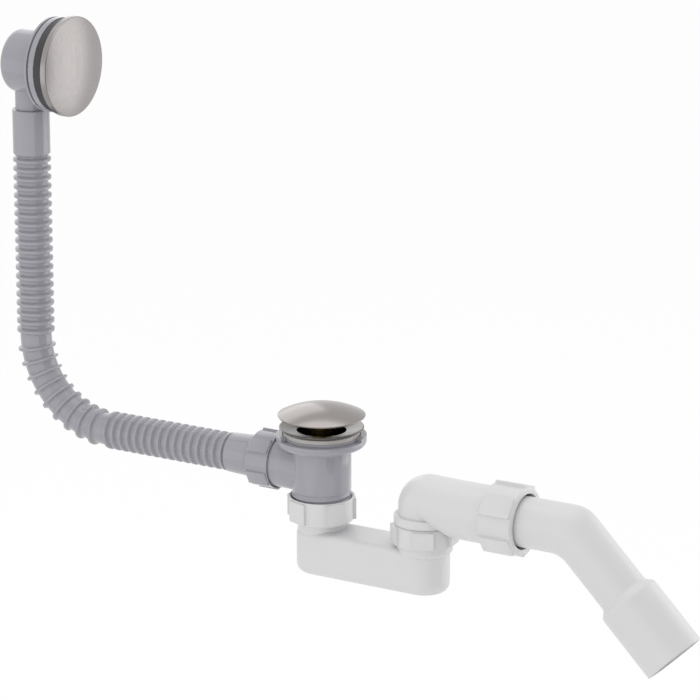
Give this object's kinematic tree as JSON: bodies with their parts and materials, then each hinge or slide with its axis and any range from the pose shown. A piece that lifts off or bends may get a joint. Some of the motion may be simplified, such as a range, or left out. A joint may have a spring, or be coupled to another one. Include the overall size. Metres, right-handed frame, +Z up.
{
  "type": "bath waste and overflow",
  "caption": "Bath drain set: press-to-open domed plug and flange on a grey body, ribbed overflow hose with round cover, and a white low trap with swivelling bent outlet.",
  "frame": {"origin": "waste axis at the underside of the metal flange, where the bath floor is clamped", "axes": "+Z up along the waste axis out of the bath floor, +X along the outlet pipe away from the overflow hose, all pipe axes in the plane Y = 0"},
  "size_m": [0.6215, 0.081, 0.4589],
  "materials": {
    "brushed_nickel": "satin brushed nickel plate",
    "grey_plastic": "smooth moulded grey polypropylene",
    "white_plastic": "smooth moulded white polypropylene",
    "natural_plastic": "plain natural polyethylene",
    "black_rubber": "matt moulded rubber",
    "grey_rubber": "matt moulded grey rubber",
    "stainless_steel": "drawn and turned stainless steel",
    "brass": "turned brass"
  },
  "bodies": {
    "waste": {"overflow_cap": "brushed_nickel", "overflow_strainer": "grey_plastic", "overflow_screw": "stainless_steel", "overflow_gasket": "black_rubber", "overflow_elbow": "grey_plastic", "spigot_seal": "black_rubber", "overflow_hose": "grey_plastic", "hose_nut": "grey_plastic", "hose_seal": "black_rubber", "cartridge_body": "brass", "cartridge_collar": "brass", "cartridge_spring": "stainless_steel", "waste_flange": "brushed_nickel", "flange_washer": "natural_plastic", "floor_gasket": "grey_rubber", "waste_body": "grey_plastic", "inlet_nut": "white_plastic", "inlet_seal": "black_rubber"},
    "plug": {"plug_cap": "brushed_nickel", "plug_seal": "black_rubber", "plunger": "brass", "latch_ring": "natural_plastic"},
    "trap": {"trap_body": "white_plastic", "riser_nut": "white_plastic", "riser_seal": "black_rubber"},
    "outlet": {"outlet_elbow": "white_plastic", "outlet_nut": "white_plastic", "outlet_seal": "black_rubber"},
    "tail": {"tail_bend": "white_plastic"}
  },
  "joints": [
    {"name": "plug_press", "type": "slide", "parent": "waste", "child": "plug", "axis": [0, 0, 1], "range_m": [-0.0078, 0], "stiffness_N_per_m": 500, "springref_m": 0.008, "deforming": ["cartridge_spring"]},
    {"name": "trap_swivel", "type": "hinge", "parent": "waste", "child": "trap", "pos_m": [0, 0, -0.07], "axis": [0, 0, 1], "range_deg": [-75, 75]},
    {"name": "outlet_swivel", "type": "hinge", "parent": "trap", "child": "outlet", "pos_m": [0.0944, 0, -0.07], "axis": [0, 0, 1], "range_deg": [-90, 90]},
    {"name": "tail_swivel", "type": "hinge", "parent": "outlet", "child": "tail", "pos_m": [0.17, 0, -0.045], "axis": [1, 0, 0], "range_deg": [-90, 90]}
  ]
}
